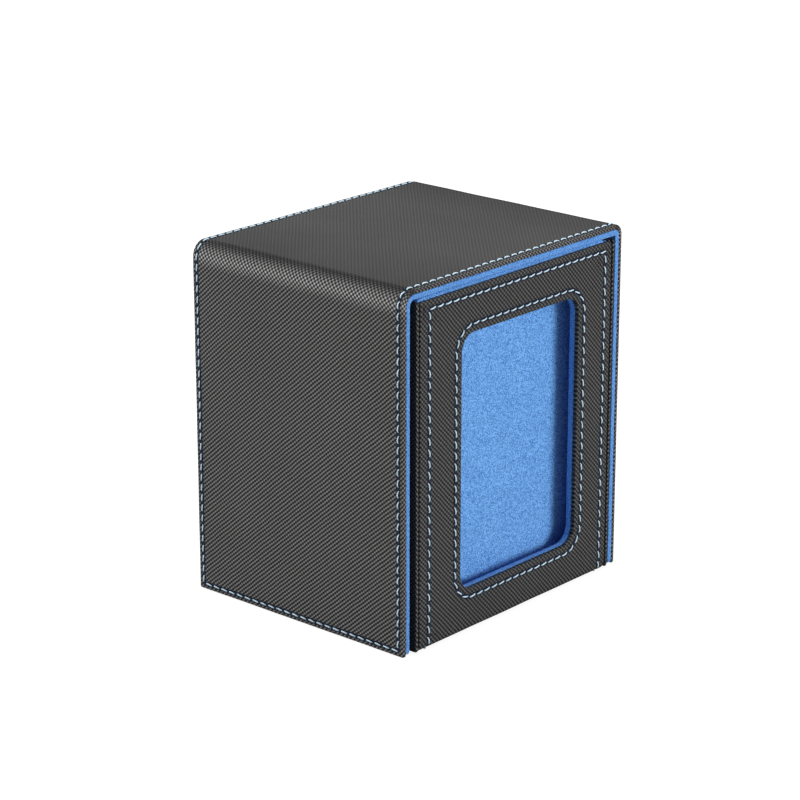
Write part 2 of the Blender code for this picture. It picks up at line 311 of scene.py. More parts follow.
@dataclass(frozen=True)
class Section:
    """Cross-section of a wrapped sheet: over its face, round one edge, back, and round the other.

    A sample is a share of the way across, a set-back from the edge it is nearest,
    and a depth below the face. Both edges are quarter circles at face and back.
    """

    thickness: float
    face_round: float
    back_round: float
    fine: float = 0.4
    reach: float = 5.0
    middle: int = 10

    def samples(self) -> tuple[Array, Array, Array]:
        """Shares, set-backs and depths of the closed cross-section.

        Returns:
            Three arrays of equal length whose last sample repeats the first.
        """
        angle = np.linspace(0.0, QUARTER, 6)
        face_back = self.face_round * (1 - np.sin(angle))
        face_depth = self.face_round * (1 - np.cos(angle))
        rear_back = self.back_round * (1 - np.sin(angle))
        rear_depth = self.thickness - self.back_round * (1 - np.cos(angle))
        steps = max(int((self.reach - self.face_round) / self.fine), 2)
        band = np.linspace(self.face_round, self.reach, steps + 1)[1:]
        share = np.linspace(0.0, 1.0, self.middle + 2)[1:-1]
        rear_band = np.linspace(self.back_round, self.reach, 4)[1:]
        near, far = np.zeros_like, np.ones_like
        shares = (near(angle), near(band), share, far(band), far(angle), far(angle), far(rear_band),
                  near(rear_band), near(angle), np.zeros(1))
        backs = (face_back[::-1], band, np.full(len(share), self.reach), band[::-1], face_back,
                 rear_back[::-1], rear_band, rear_band[::-1], rear_back, face_back[-1:])
        depths = (face_depth[::-1], 0 * band, 0 * share, 0 * band, face_depth, rear_depth[::-1],
                  0 * rear_band + self.thickness, 0 * rear_band + self.thickness, rear_depth, face_depth[-1:])
        return np.concatenate(shares), np.concatenate(backs), np.concatenate(depths)


@dataclass(frozen=True)
class Relief:
    """What a sheet's face gets.

    A groove is pressed along each seam, and the hand-laid face has slow waves. marks
    are numbers for the material, each a function of the place on the sheet.
    """

    seams: tuple[Outline, ...] = ()
    groove: float = 0.2
    groove_width: float = 0.55
    wave: float = 0.0
    wave_length: float = 31.0
    marks: dict[str, Field] = field(default_factory=dict)

    def depth(self, across: Array, along: Array) -> Array:
        """Depth below the flat face: a bell curve of the distance to each seam, plus crossed sines."""
        out = np.zeros(np.broadcast(across, along).shape)
        for seam in self.seams:
            out = out + self.groove * np.exp(-(seam.distance(across, along) / self.groove_width) ** 2)
        turn = LAP / self.wave_length
        waves = np.sin(turn * (across + 0.4 * along)) * np.sin(0.77 * turn * (along - 0.3 * across))
        return out + self.wave * waves

    def values(self, across: Array, along: Array) -> dict[str, Array]:
        """The marks, and stitch, which is 1 on the nearest seam and 0 from a millimetre away and marks where
        the leather gets painted shade.
        """
        values = {name: mark(across, along)[None] for name, mark in self.marks.items()}
        if self.seams:
            gaps = [np.abs(seam.distance(across, along)) for seam in self.seams]
            values["stitch"] = peak(np.minimum.reduce(gaps), 0.0, 0.4, 2.5)[None]
        return values


def peak(value: Array, middle: float, width: float, height: float = 1.0) -> Array:
    """A tent over the middle that falls by one per width, cut off at 0 and 1."""
    return np.clip(height - np.abs(value - middle) / width, 0.0, 1.0)


def rounding(radius: float, off: Array) -> Array:
    """How far a quarter circle stands back at a distance from the end that it rounds off."""
    return radius - np.sqrt(np.maximum(radius ** 2 - (radius - np.minimum(off, radius)) ** 2, 0.0))


def wrapped_sheet(section: Section, lay: Lay, half: float, ends: tuple[float, float], corner: float,
                  step: float, relief: Relief, band: float = 4.0) -> Patch:
    """A sheet wrapped round its board, as one closed surface.

    The cross-section is carried along the sheet. Near a free end the half width
    follows the corner's quarter circle and the face sinks on the edge's quarter
    circle, and the last row closes on the middle of the thickness.

    Args:
        section: the cross-section.
        lay: where the sheet goes in space.
        half: half the width of the sheet.
        ends: where the sheet starts and ends along its length.
        corner: radius of its four corners.
        step: distance between rows.
        relief: what the face gets.
        band: length of the fine rows at each end.

    Returns:
        The closed patch.
    """
    share, back, depth = section.samples()
    angle = np.linspace(0.0, QUARTER, 7)
    rim = section.face_round
    lead = np.unique(np.round(np.outer((corner, rim), 1 - np.cos(angle)), 2))
    lead = np.concatenate((lead, np.arange(lead[-1] + section.fine, band, section.fine)))
    inner = np.arange(ends[0] + lead[-1] + step, ends[1] - lead[-1] - step / 2, step)
    along = np.concatenate((ends[0] + lead[:1], ends[0] + lead, inner,
                            ends[1] - lead[::-1], ends[1] - lead[:1]))
    off = np.minimum(along - ends[0], ends[1] - along)
    drop = rounding(rim, off)
    width = (half - rounding(corner, off))[:, None]
    along = along[:, None] + 0 * back
    across = (1 - share) * (back - width) + share * (width - back)
    low = np.clip(depth[None, :], drop[:, None], section.thickness - drop[:, None])
    low[0], low[-1] = section.thickness / 2, section.thickness / 2
    face = np.clip(1 - depth / rim, 0.0, 1.0)
    low = low + face * relief.depth(across, along)
    sheet = np.stack((across + (2 * share - 1) * depth, along), axis=-1)
    return Patch(lay.place(across, along, low)[None], sheet[None], relief.values(across, along))


def framed_sheet(section: Section, lay: Lay, outer: Outline, opening: Outline,
                 counts: tuple[int, int, int], relief: Relief) -> Patch:
    """A sheet with a window, as one closed ring.

    The cross-section runs from the window's edge to the outer edge, by the normals
    of both outlines near them and straight between, and is carried round the window.

    Args:
        section: the cross-section.
        lay: where the sheet goes in space.
        outer: the outer outline on the flat sheet.
        opening: the window's outline.
        counts: steps on a level side, on an upright side, and points of a corner.
        relief: what the face gets.

    Returns:
        The closed patch.
    """
    share, back, depth = section.samples()
    near, near_normal = (part[:, None, :] for part in opening.loop(counts[:2], counts[2]))
    far, far_normal = (part[:, None, :] for part in outer.loop(counts[:2], counts[2]))
    share, back = share[None, :, None], back[None, :, None]
    spot = (1 - share) * (near + near_normal * back) + share * (far - far_normal * back)
    across, along = spot[..., 0], spot[..., 1]
    face = np.clip(1 - depth / section.face_round, 0.0, 1.0)
    low = depth + face * relief.depth(across, along)
    return Patch(lay.place(across, along, low)[None], spot[None], relief.values(across, along))


def wrapped_board(low: Triple, high: Triple, facing: int, soft: float, wave: float = 0.05) -> Patch:
    """A flat board wrapped in fabric, with soft edges.

    Args:
        low: the lowest corner.
        high: the highest corner.
        facing: the axis its thickness lies along.
        soft: radius of the soft edges.
        wave: height of the slow waves on its faces.

    Returns:
        The closed patch.
    """
    unit = np.eye(3)
    along_axis = 2 if facing != 2 else 1
    across_axis = 3 - facing - along_axis
    size = np.array(high) - np.array(low)
    origin = np.array(low, dtype=float)
    origin[across_axis] += size[across_axis] / 2
    lay = FlatLay(tuple(origin), tuple(unit[across_axis]), tuple(unit[along_axis]), tuple(-unit[facing]))
    thickness = float(size[facing])
    soft = min(soft, 0.45 * thickness)
    section = Section(thickness, soft, soft, fine=1.2, reach=4.0, middle=18)
    return wrapped_sheet(section, lay, float(size[across_axis]) / 2, (0.0, float(size[along_axis])), soft,
                         2.5, Relief(wave=wave))


# Sewing


@dataclass(frozen=True)
class Seam:
    """A run of stitches round an outline on a sheet.

    A stitch leans by slant at its ends, bows aside, is a gap shorter than the pitch,
    stands up by crown and dives by sink. girth is its thread's width and height in
    shares of its radius, and hole the half length and half width of a needle hole.
    """

    outline: Outline
    lay: Lay
    pitch: float
    slant: float = -0.24
    bow: float = 0.04
    gap: float = 0.85
    thread: float = 0.23
    crown: float = 0.18
    sink: float = 0.36
    girth: tuple[float, float] = (1.05, 0.9)
    hole: tuple[float, float] = (0.62, 0.46)
    ahead: float = 0.05

    def drawn(self) -> tuple[Array, Array]:
        """Points drawn finely round the outline, and the outline's length up to each."""
        points, _ = self.outline.loop((400, 400), 24)
        return points, np.concatenate(([0.0], np.cumsum(np.hypot(*np.diff(points, axis=0).T))))

    def starts(self) -> tuple[Array, float]:
        """Distances at which the whole number of stitches that fits starts, and their spacing."""
        lap = float(self.drawn()[1][-1])
        number = round(lap / self.pitch)
        return np.arange(number) * lap / number, lap / number

    def spot(self, places: Array) -> Array:
        """Points at distances round the outline, looked up between the drawn ones."""
        points, length = self.drawn()
        return np.stack([np.interp(places % length[-1], length, points[:, axis]) for axis in (0, 1)], axis=-1)

    def run(self, places: Array) -> tuple[Array, Array]:
        """Points and their unit left-hand normals at distances round the outline."""
        spot = self.spot(places)
        tangent = self.spot(places + self.ahead) - spot
        tangent = tangent / np.linalg.norm(tangent, axis=-1, keepdims=True)
        return spot, np.stack((-tangent[..., 1], tangent[..., 0]), axis=-1)

    def stitches(self) -> Patch:
        """Thread from hole to hole: a tube whose axis arches and dips at both ends.

        The tube's radius is that of a rounded rod that closes at both ends, its axis
        leans across the seam in step with the distance and bows to one side by a
        parabola, and it lies on the sheet.
        """
        starts, spacing = self.starts()
        middles = starts + spacing / 2
        share = np.array([-1.0, -0.93, -0.75, -0.35, 0.0, 0.35, 0.75, 0.93, 1.0])
        around = np.linspace(0.0, LAP, 7)
        radius = self.thread * np.sqrt(1 - share ** 8)
        axis = self.crown - (self.crown + self.sink) * np.abs(share) ** 5
        reach = (self.pitch - self.gap) / 2
        spot, normal = self.run(middles[:, None] + share * reach)
        sway = self.slant * share + self.bow * (1 - 2 * share ** 2)
        wide = sway[:, None] + radius[:, None] * np.cos(around) * self.girth[0]
        tall = axis[:, None] + radius[:, None] * np.sin(around) * self.girth[1]
        flat = spot[:, :, None, :] + normal[:, :, None, :] * wide[None, :, :, None]
        depth = np.broadcast_to(-tall[None], flat.shape[:3])
        sheet = np.stack(np.broadcast_arrays((share * reach)[None, :, None],
                                             (around * self.thread)[None, None, :]), axis=-1)
        sheet = np.broadcast_to(sheet, flat.shape)
        return Patch(self.lay.place(flat[..., 0], flat[..., 1], depth), sheet)

    def holes(self) -> Patch:
        """Needle holes between the stitches: flat lenses, ovals that thin out to their rims, coloured as
        painted shade of the holes.
        """
        around = np.linspace(0.0, LAP, 9)
        ring = np.array([0.0, 1.0, 0.0])
        lift = np.array([-0.02, 0.06, 0.09])
        spot, normal = self.run(self.starts()[0])
        tangent = np.stack((normal[:, 1], -normal[:, 0]), axis=-1)
        far = ring[:, None] * np.cos(around) * self.hole[0]
        wide = ring[:, None] * np.sin(around) * self.hole[1]
        flat = (spot[:, None, None, :] + tangent[:, None, None, :] * far[None, :, :, None]
                + normal[:, None, None, :] * wide[None, :, :, None])
        depth = np.broadcast_to(lift[None, :, None], flat.shape[:3])
        return Patch(self.lay.place(flat[..., 0], flat[..., 1], depth), np.zeros_like(flat))


# Finishes


class Nodes:
    """The node tree of one material, with short calls to add and join nodes."""

    def __init__(self, name: str) -> None:
        """Start a material with nothing but its shader.

        Args:
            name: the material's name.
        """
        self.material = bpy.data.materials.new(name)
        self.material.use_nodes = True
        self.tree = self.material.node_tree
        self.shader = self.tree.nodes["Principled BSDF"]

    def add(self, kind: str, *inputs: object, **settings: object) -> bpy.types.Node:
        """Add a node, set its properties and fill or join its first inputs.

        Args:
            kind: the node's type.
            inputs: a value, a socket or None for each input in turn.
            settings: properties of the node.

        Returns:
            The node.
        """
        node = self.tree.nodes.new(kind)
        for key, value in settings.items():
            setattr(node, key, value)
        for index, value in enumerate(inputs):
            self.fill(node.inputs[index], value)
        return node

    def fill(self, socket: Socket, value: object) -> None:
        """Join a socket to another, or give it a value; None leaves it as it is."""
        if isinstance(value, Socket):
            self.tree.links.new(value, socket)
        elif value is not None:
            socket.default_value = value

    def math(self, operation: str, *inputs: object) -> Socket:
        """Result of a Math node."""
        return self.add("ShaderNodeMath", *inputs, operation=operation).outputs[0]

    def place(self) -> Socket:
        """Object coordinates, in metres."""
        return self.add("ShaderNodeTexCoord").outputs["Object"]

    def sheet(self) -> Socket:
        """Place on the flat sheet, in millimetres."""
        return self.add("ShaderNodeUVMap", uv_map="sheet").outputs[0]

    def mark(self, name: str) -> Socket:
        """One of the mesh's marks, or 0 where it has none of that name."""
        return self.add("ShaderNodeAttribute", attribute_name=name).outputs["Fac"]

    def waves(self, vector: object, wave: Triple) -> Socket:
        """Number of waves of a wave vector from the origin to a place."""
        return self.add("ShaderNodeVectorMath", vector, wave, operation="DOT_PRODUCT").outputs["Value"]

    def blend(self, share: object, first: object, second: object) -> Socket:
        """Mix two colours, each a socket or three numbers, by a share."""
        node = self.add("ShaderNodeMix", data_type="RGBA")
        self.fill(node.inputs[0], share)
        for index, value in ((6, first), (7, second)):
            self.fill(node.inputs[index], (*value, 1.0) if isinstance(value, tuple) else value)
        return node.outputs[2]

    def noise(self, vector: object, scale: float, detail: float = 2.0, rough: float = 0.5) -> Socket:
        """Noise of a scale per unit of the vector."""
        node = self.add("ShaderNodeTexNoise")
        for key, value in (("Vector", vector), ("Scale", scale), ("Detail", detail), ("Roughness", rough)):
            self.fill(node.inputs[key], value)
        return node.outputs[0]

    def spread(self, value: object, low: float, high: float) -> Socket:
        """Stretch the values from low to high over 0 to 1, softly."""
        node = self.add("ShaderNodeMapRange", value, low, high, 0.0, 1.0, interpolation_type="SMOOTHSTEP")
        return node.outputs[0]

    def bump(self, height: object, distance: float, strength: object = 1.0) -> Socket:
        """Normal that a height in shares of a distance in metres gives."""
        node = self.add("ShaderNodeBump")
        for key, value in (("Height", height), ("Distance", distance), ("Strength", strength)):
            self.fill(node.inputs[key], value)
        return node.outputs[0]

    def shade(self, **values: object) -> bpy.types.Material:
        """Fill the shader's sockets, named with underscores, and hand over the material."""
        for key, value in values.items():
            self.fill(self.shader.inputs[key.replace("_", " ")], value)
        return self.material


@dataclass(frozen=True)
class Leather:
    """Grained leather embossed with two sets of crossed diagonal ribs.

    rib and weft are wave vectors on the sheet, in waves a millimetre. Where the mark
    cross is 1 both are as strong, as on a stretched fold, and calm flattens them. A
    third mark paints a highlight on the ribs where it is above 0 and shade where it
    is below, and stitch marks painted shade along the seam, under the thread.
    """

    name: str
    rib: tuple[float, float]
    weft: tuple[float, float]
    ridge: Colour
    valley: Colour = (0.005, 0.005, 0.0055)
    flat: Colour = (0.125, 0.124, 0.123)
    # painted shade along the seam, under the thread
    seam_shade: Colour = (0.001, 0.004, 0.018)
    wander: float = 2.2
    depth: float = 0.0004

    def make(self) -> bpy.types.Material:
        """Build the material: each rib is a raised cosine of its wave vector times the place."""
        n = Nodes(self.name)
        sheet, place = n.sheet(), n.place()
        cross, calm, rub, stitch = (n.mark(name) for name in ("cross", "calm", "rub", "stitch"))
        drift = n.math("MULTIPLY", n.noise(sheet, 0.16, 1.0), self.wander)
        ribs = []
        for wave in (self.rib, self.weft):
            turn = n.math("MULTIPLY_ADD", n.waves(sheet, (*wave, 0.0)), LAP, drift)
            ribs.append(n.math("MULTIPLY_ADD", n.math("COSINE", turn), 0.5, 0.5))
        share = n.math("MULTIPLY_ADD", cross, 0.4, 0.6)
        weft = n.math("MULTIPLY", ribs[1], share)
        total = n.math("ADD", ribs[0], weft)
        height = n.math("DIVIDE", total, n.math("ADD", share, 1.0))
        grain = n.noise(place, 5200.0, 3.0, 0.6)
        tone = n.math("MULTIPLY_ADD", n.math("SUBTRACT", grain, 0.5), 0.4, n.spread(height, 0.28, 0.92))
        colour = n.blend(tone, self.valley, self.ridge)
        plain = n.blend(n.math("MULTIPLY_ADD", tone, 0.9, 0.32), self.valley, self.flat)
        cloud = n.math("MULTIPLY_ADD", n.noise(place, 38.0, 2.0), 0.25, 0.87)
        # painted highlight on the ribs where the third mark is above 0, then painted shade where it is below
        with_painted_highlight = n.math("MULTIPLY_ADD", n.math("MAXIMUM", rub, 0.0), 1.3, cloud)
        level = n.math("MULTIPLY_ADD", n.math("MINIMUM", rub, 0.0), 0.7, with_painted_highlight)
        toned = n.add("ShaderNodeVectorMath", n.blend(calm, colour, plain), operation="SCALE")
        n.fill(toned.inputs["Scale"], level)
        # painted shade along the seam, under the thread, where the stitch mark is 1
        hue = n.blend(stitch, toned.outputs[0], self.seam_shade)
        relief = n.math("MULTIPLY_ADD", grain, 0.12, height)
        normal = n.bump(relief, self.depth, n.math("MULTIPLY_ADD", calm, -0.6, 0.9))
        rough = n.math("MULTIPLY_ADD", height, -0.12, 0.66)
        return n.shade(Base_Color=hue, Roughness=rough, Normal=normal, Specular_IOR_Level=0.3)


@dataclass(frozen=True)
class Microfibre:
    """Short-napped blue microfibre, mottled where the nap lies this way and that."""

    name: str = "blue_microfibre"
    deep: Colour = (0.055, 0.19, 0.55)
    light: Colour = (0.23, 0.53, 0.98)

    def make(self) -> bpy.types.Material:
        """Build the material: fine and coarse noise mix the two blues and raise the nap."""
        n = Nodes(self.name)
        place = n.place()
        nap = n.noise(place, 3300.0, 1.0)
        patch = n.noise(place, 160.0, 2.0)
        mixed = n.math("MULTIPLY_ADD", patch, 0.06, n.math("MULTIPLY", nap, 0.94))
        tone = n.spread(mixed, 0.37, 0.63)
        colour = n.blend(tone, self.deep, self.light)
        normal = n.bump(mixed, 0.0004, 0.6)
        rough = n.math("MULTIPLY_ADD", tone, 0.08, 0.88)
        return n.shade(Base_Color=colour, Roughness=rough, Normal=normal, Sheen_Weight=0.12,
                       Sheen_Roughness=0.5, Specular_IOR_Level=0.1)


@dataclass(frozen=True)
class Thread:
    """Twisted sky blue sewing thread."""

    name: str = "sky_blue_thread"
    strand: Colour = (0.80, 0.96, 1.0)
    groove: Colour = (0.33, 0.65, 0.98)

    def make(self) -> bpy.types.Material:
        """Build the material: a slanted wave on the thread's own length and girth is its twist."""
        n = Nodes(self.name)
        twist = n.math("SINE", n.math("MULTIPLY", n.waves(n.sheet(), (1.6, 0.6, 0.0)), LAP))
        tone = n.math("MULTIPLY_ADD", twist, 0.3, 0.7)
        colour = n.blend(tone, self.groove, self.strand)
        rough = n.math("MULTIPLY_ADD", tone, -0.1, 0.6)
        return n.shade(Base_Color=colour, Roughness=rough, Normal=n.bump(tone, 0.0001, 0.5), Sheen_Weight=0.2)


@dataclass(frozen=True)
class Speckle:
    """A plain finish with two close colours, mixed by noise, and an even roughness that it ruffles."""

    name: str
    dark: Colour
    light: Colour
    scale: float
    rough: float
    metal: float = 0.0

    def make(self) -> bpy.types.Material:
        """Build the material: noise mixes the colours, shifts the roughness and lifts a fine grain."""
        n = Nodes(self.name)
        fleck = n.noise(n.place(), self.scale, 4.0, 0.6)
        colour = n.blend(n.spread(fleck, 0.3, 0.7), self.dark, self.light)
        rough = n.math("MULTIPLY_ADD", fleck, 0.12, self.rough - 0.06)
        return n.shade(Base_Color=colour, Roughness=rough, Normal=n.bump(fleck, 0.00005, 0.4),
                       Metallic=self.metal)


class Palette:
    """Every material of the box, made once."""

    def __init__(self) -> None:
        """Make the materials."""
        self.shell_leather = Leather("shell_leather_embossed", (0.60, 0.70), (0.69, -0.635),
                                     (0.235, 0.233, 0.231)).make()
        self.core_leather = Leather("core_leather_embossed", (0.66, -0.64), (0.52, 0.70),
                                    (0.124, 0.123, 0.122)).make()
        self.microfibre = Microfibre().make()
        self.trim = Microfibre("blue_microfibre_trim", (0.035, 0.145, 0.47), (0.20, 0.47, 0.95)).make()
        self.thread = Thread().make()
        # needle holes: near-black navy painted as the shade inside each hole
        self.hole = Speckle("needle_hole_shade", (0.002, 0.006, 0.022), (0.004, 0.018, 0.060), 2500.0, 0.9).make()
        self.board = Speckle("grey_board", (0.20, 0.18, 0.155), (0.33, 0.31, 0.275), 900.0, 0.92).make()
        self.magnet = Speckle("nickel_plate", (0.58, 0.56, 0.53), (0.72, 0.70, 0.67), 700.0, 0.28, 1.0).make()


def add_piece(name: str, patches: list[Patch], material: bpy.types.Material, body: Body,
              replaced: tuple[str, ...] = ()) -> None:
    """Build a piece, give it its material and body, and hide the nodes that it replaces.

    Args:
        name: the piece's name.
        patches: the closed grids it is made of.
        material: its finish.
        body: the body it rides on.
        replaced: nodes that it replaces.
    """
    piece = build(name, patches)
    piece.data.materials.append(material)
    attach(piece, body.value)
    if replaced:
        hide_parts(*replaced)
    log.info("%s: %d faces on %s", name, len(piece.data.polygons), body.value)


def sew(name: str, seam: Seam, palette: Palette, body: Body) -> None:
    """Add the two pieces of a seam: its thread, and its needle holes as dark lenses of painted shade."""
    add_piece(name + "_thread", [seam.stitches()], palette.thread, body)
    add_piece(name + "_needle_holes", [seam.holes()], palette.hole, body)


# Sub-assemblies


@dataclass
class Shell:
    """The lift-off shell: a leather sheet folded over, its blue lining and its seam."""

    half: float = 52.5
    rise: float = 115.0
    reach: float = 43.4
    folds: tuple[float, float] = (5.0, 3.4)
    corner: float = 0.8
    thickness: float = 1.5
    seam_set: float = 2.0
    lining: float = 1.75
    lining_gap: float = 0.05
    lining_folds: tuple[float, float] = (3.45, 2.0)
    lining_taper: float = 0.08
    lining_raise: float = 0.5
    lining_inset: float = 0.1

    def lay(self) -> FoldedLay:
        """How the leather folds."""
        return FoldedLay(self.half, self.rise, self.folds, Turn.OVER)

    def climb(self, along: Array) -> Array:
        """Share of the way up the nearer fold: 0 where its leg ends and 1 where the top starts."""
        start, end, far, last = self.lay().stops()
        return np.minimum((along - start) / (end - start), (last - along) / (last - far))

    def seam(self) -> Outline:
        """The line of stitches round the whole sheet."""
        return Outline((-self.reach + self.seam_set, self.seam_set),
                       (self.reach - self.seam_set, self.lay().length() - self.seam_set), 0.45)

    def cross(self, across: Array, along: Array) -> Array:
        """Where both ribs are strong: on the two folds, and a little outside the seam."""
        return np.maximum(0.15 * self.seam().outside(across, along), peak(self.climb(along), 0.4, 0.5, 1.7))

    def calm(self, across: Array, along: Array) -> Array:
        """Where the ribs are pressed flat: the top face inside the seam."""
        top = np.clip((self.climb(along) - 0.97) / 0.1, 0.0, 1.0)
        return (1 - self.seam().outside(across, along)) * top

    def rub(self, across: Array, along: Array) -> Array:
        """Painted highlight on the ribs low on a fold and painted shade where it meets the top, each a peak
        of the climb.
        """
        climb = self.climb(along)
        # the painted shade runs on a little way over the top
        tail = 0.3 * np.clip(1.35 - climb / 4, 0.0, 1.0) * (climb > 1)
        return 0 * across + peak(climb, 0.1, 0.45) - np.maximum(peak(climb, 0.85, 0.3, 1.3), tail)

    def build(self, palette: Palette) -> None:
        """Build and dress the leather, the lining and the seam.

        Args:
            palette: the materials.
        """
        lay = self.lay()
        section = Section(self.thickness, 0.8, 0.3, fine=0.35, reach=4.0, middle=14)
        # The third mark paints a highlight low on each fold and shade where the fold meets the top.
        relief = Relief((self.seam(),), wave=0.05,
                        marks={"cross": self.cross, "calm": self.calm, "rub": self.rub})
        leather = wrapped_sheet(section, lay, self.reach, (0.0, lay.length()), self.corner, 0.6, relief)
        add_piece("shell_leather", [leather], palette.shell_leather, Body.SHELL, ("shell_cover",))
        inset = self.thickness + self.lining_gap
        inner = FoldedLay(self.half - inset, self.rise - inset, self.lining_folds, Turn.OVER,
                          taper=self.lining_taper)
        soft = Section(self.lining, 0.35, 0.25, fine=0.7, reach=4.0, middle=24)
        ends = (self.lining_raise, inner.length() - self.lining_raise)
        lining = wrapped_sheet(soft, inner, self.reach - self.lining_inset, ends, 0.9, 1.1, Relief(wave=0.06))
        add_piece("shell_lining", [lining], palette.trim, Body.SHELL,
                  ("shell_lining_left", "shell_lining_top", "shell_lining_right"))
        sew("shell", Seam(self.seam(), lay, 3.45, slant=0.12, bow=0.12), palette, Body.SHELL)


@dataclass
class Core:
    """The core: a leather strip with a window, leather side walls and blue boards inside."""

    face: float = 44.6
    cover_half: float = 45.85
    cover_aside: float = -0.4
    cover_top: float = 110.7
    top: float = 110.8
    half: float = 47.4
    fold: float = 2.8
    corner: float = 1.1
    thickness: float = 1.5
    seam_side: float = 3.7
    seam_top: float = 2.55
    window_half: float = 28.1
    window_shift: float = 1.0
    window_low: float = 14.3
    window_high: float = 96.4
    window_radius: float = 5.5
    window_seam: float = 2.85
    side_lip: float = 0.9
    side_setback: float = 0.3
    side_raise: float = 0.4
    side_inner: float = 45.5
    wall_face: float = 43.1
    wall_base: float = 1.9
    lining: float = 2.1
    lining_half: float = 43.6
    lining_base: float = 4.3
    window_lining_top: float = 111.6
    front_left: float = 46.3
    front_right: float = 43.6
    slot_back: float = -36.5
    inner_wall: float = 2.7
    inner_drop: float = 6.0
    side_lining: float = 1.6
    seam_gap: float = 0.3

    def lay(self) -> FoldedLay:
        """How the leather strip folds: down the front, under, and up the back."""
        return FoldedLay(self.face, self.cover_top, (self.fold, self.fold), Turn.UNDER, self.cover_top,
                         aside=self.cover_aside)

    def seam(self) -> Outline:
        """The line of stitches round the whole strip."""
        half = self.cover_half - self.seam_side
        return Outline((-half - self.cover_aside, self.seam_top),
                       (half - self.cover_aside, self.lay().length() - self.seam_top), 0.4)

    def window(self, margin: float) -> Outline:
        """The window's outline on the strip, larger by a margin."""
        half, middle = self.window_half + margin, self.window_shift - self.cover_aside
        return Outline((middle - half, self.cover_top - self.window_high - margin),
                       (middle + half, self.cover_top - self.window_low + margin),
                       self.window_radius + margin)

    def cross(self, across: Array, along: Array) -> Array:
        """Where the second rib is stronger: outside the outer seam and inside the window's."""
        inner = 1 - self.window(self.window_seam).outside(across, along)
        return 0.25 * np.maximum(self.seam().outside(across, along), inner)

    def edge_painted_light(self, across: Array, along: Array) -> Array:
        """Painted light on a side wall: a painted highlight on its edge, and painted shade from there to 3 mm
        in.
        """
        inset = self.face - self.side_setback - np.abs(across) + 0 * along
        return np.where(inset < 0.4, 0.35, -0.85 * np.clip((3.4 - inset) / 0.8, 0.0, 1.0))

    def build_leather(self, palette: Palette) -> None:
        """Build and dress the leather strip, its side walls and both seams.

        Args:
            palette: the materials.
        """
        lay = self.lay()
        window = self.window(self.window_seam)
        relief = Relief((self.seam(), window), wave=0.04, marks={"cross": self.cross})
        turned = lay.stops()[1] + 0.6
        section = Section(self.thickness, 0.45, 0.3, fine=0.35, reach=7.0, middle=8)
        panel = Outline((-self.cover_half, 0.0), (self.cover_half, turned), self.corner)
        front = framed_sheet(section, lay, panel, self.window(0.0), (80, 110, 10), relief)
        rest = wrapped_sheet(Section(self.thickness, 0.5, 0.3, fine=0.4, reach=6.0, middle=12), lay,
                             self.cover_half, (turned, lay.length()), self.corner, 0.8, relief)
        add_piece("core_leather", [front, rest], palette.core_leather, Body.CORE, ("core_cover",))
        for name, sign in (("left", -1.0), ("right", 1.0)):
            outer = FlatLay((sign * self.half, 0.0, self.side_raise), (0.0, 1.0, 0.0), (0.0, 0.0, 1.0),
                            (sign, 0.0, 0.0))
            # The side wall's mark paints a highlight on its edge and shade just inside it.
            slab = wrapped_sheet(Section(self.side_lip, 0.45, 0.3, fine=0.5, reach=4.0, middle=30), outer,
                                 self.face - self.side_setback, (0.0, self.top - self.side_raise), 0.9, 1.2,
                                 Relief(wave=0.05, marks={"rub": self.edge_painted_light}))
            edges = sorted((sign * self.side_inner, sign * (self.half - self.side_lip + 0.15)))
            filler = wrapped_board((edges[0], -self.wall_face, self.wall_base),
                                   (edges[1], self.wall_face, self.top - 0.1), 0, 0.3, 0.0)
            add_piece("side_leather_" + name, [slab, filler], palette.core_leather, Body.CORE,
                      ("side_cover_" + name,))
        sew("core", Seam(self.seam(), lay, 3.55), palette, Body.CORE)
        sew("window", Seam(window, lay, 3.5), palette, Body.CORE)

    def build_linings(self, palette: Palette) -> None:
        """Build and dress the microfibre boards inside.

        Args:
            palette: the materials.
        """
        half, base, wall = self.lining_half, self.lining_base, self.wall_face
        top = self.window_lining_top
        plane = FlatLay((0.0, -wall, top), (1.0, 0.0, 0.0), (0.0, 0.0, -1.0), (0.0, -1.0, 0.0))
        opening = Outline((self.window_shift - self.window_half, top - self.window_high),
                          (self.window_shift + self.window_half, top - self.window_low), self.window_radius)
        panel = Outline((-self.front_left, 0.0), (self.front_right, top - base), 2.0)
        window = framed_sheet(Section(self.lining, 0.45, 0.4, fine=0.8, reach=5.0, middle=6), plane, panel,
                              opening, (40, 56, 8), Relief(wave=0.04))
        boards = {
            "window_lining": [window],
            "floor_lining": [wrapped_board((-half, -wall, self.wall_base),
                                           (half, wall, base - self.seam_gap), 2, 0.6)],
            "back_lining": [wrapped_board((-half, wall - self.lining, base), (half, wall, self.top), 1, 0.8)],
            "inner_wall": [wrapped_board((-half, self.slot_back, base),
                                         (half, self.slot_back + self.inner_wall, self.top - self.inner_drop),
                                         1, 0.9)]}
        for name, sign in (("left", -1.0), ("right", 1.0)):
            face = self.side_inner - self.seam_gap
            edges = sorted((sign * face, sign * (face - self.side_lining)))
            boards["side_lining_" + name] = [wrapped_board((edges[0], -wall, self.wall_base),
                                                           (edges[1], wall, self.top), 0, 0.7)]
        for node, patches in boards.items():
            finish = palette.trim if node == "window_lining" else palette.microfibre
            add_piece(node + "_fabric", patches, finish, Body.CORE, (node,))


def dress_packed(palette: Palette) -> None:
    """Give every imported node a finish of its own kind; hidden boards and magnets keep their meshes.

    Args:
        palette: the materials.
    """
    finishes = {"board": palette.board, "magnet": palette.magnet, "shell_cover": palette.shell_leather,
                "cover": palette.core_leather, "": palette.microfibre}
    for name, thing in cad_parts.items():
        thing.data.materials.clear()
        thing.data.materials.append(next(finish for part, finish in finishes.items() if part in name))
    log.info("dressed %d packed nodes", len(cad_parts))


